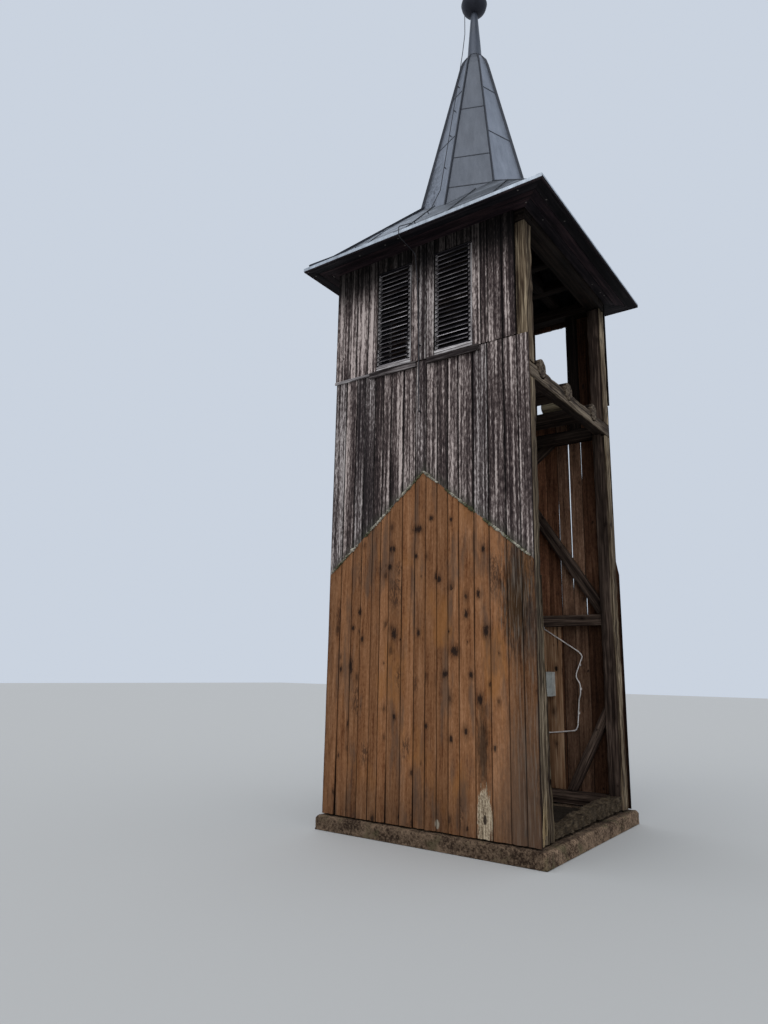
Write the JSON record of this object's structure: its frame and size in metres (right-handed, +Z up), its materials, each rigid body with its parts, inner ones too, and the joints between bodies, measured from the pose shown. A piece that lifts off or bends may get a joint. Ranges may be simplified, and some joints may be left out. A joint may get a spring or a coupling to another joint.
{
  "type": "timber bell tower",
  "caption": "Square timber bell tower with board walls, louvred belfry windows, one open side, a flared metal roof, an eight-sided spire and a ball finial.",
  "frame": {"origin": "centre of the base, at ground level", "axes": "+Z up the tower, +X to the right along the front, +Y to the back"},
  "size_m": [3.052, 3.081, 10.7616],
  "materials": {
    "frame_timber": "hewn, weathered",
    "boards": "weathered boards",
    "louvre_wood": "weathered",
    "pale_planks": "rough sawn",
    "eaves_boards": "dark stain",
    "skirt_sheet": "weathered zinc",
    "spire_sheet": "dark grey paint",
    "ball_metal": "dark, worn",
    "concrete": "rough cast concrete",
    "box_plastic": "matt",
    "cable_sheath": "matt",
    "wire_metal": "dull"
  },
  "bodies": {
    "root": {"back_louvre": "louvre_wood", "back_wall_lower": "boards", "back_wall_upper": "boards", "ball": "ball_metal", "belt_beam_back": "frame_timber", "belt_beam_front": "frame_timber", "belt_beam_left": "frame_timber", "belt_beam_right": "frame_timber", "cable": "cable_sheath", "cable_clips": "cable_sheath", "conductor": "wire_metal", "conductor_clips": "wire_metal", "fascia": "eaves_boards", "floor_logs": "frame_timber", "floor_slab": "concrete", "front_louvres": "louvre_wood", "front_wall_lower": "boards", "front_wall_upper": "boards", "knee_brace": "frame_timber", "left_louvres": "louvre_wood", "left_wall_lower": "boards", "left_wall_upper": "boards", "lining_planks": "pale_planks", "long_brace": "frame_timber", "mast": "frame_timber", "meter_box": "box_plastic", "mid_rails": "frame_timber", "neck": "spire_sheet", "old_sill_right": "frame_timber", "plate_back": "frame_timber", "plate_front": "frame_timber", "plate_left": "frame_timber", "plate_right": "frame_timber", "plinth": "concrete", "post_back_left": "frame_timber", "post_back_right": "frame_timber", "post_front_left": "frame_timber", "post_front_right": "frame_timber", "roof_beams_across": "frame_timber", "roof_beams_along": "frame_timber", "sills": "frame_timber", "skirt_rafters": "frame_timber", "skirt_roof_back": "skirt_sheet", "skirt_roof_front": "skirt_sheet", "skirt_roof_left": "skirt_sheet", "skirt_roof_right": "skirt_sheet", "soffit": "eaves_boards", "spire": "spire_sheet", "spire_rafters": "frame_timber", "spire_seams": "spire_sheet", "upper_brace": "frame_timber", "window_sills": "louvre_wood", "window_studs": "frame_timber"}
  },
  "joints": []
}
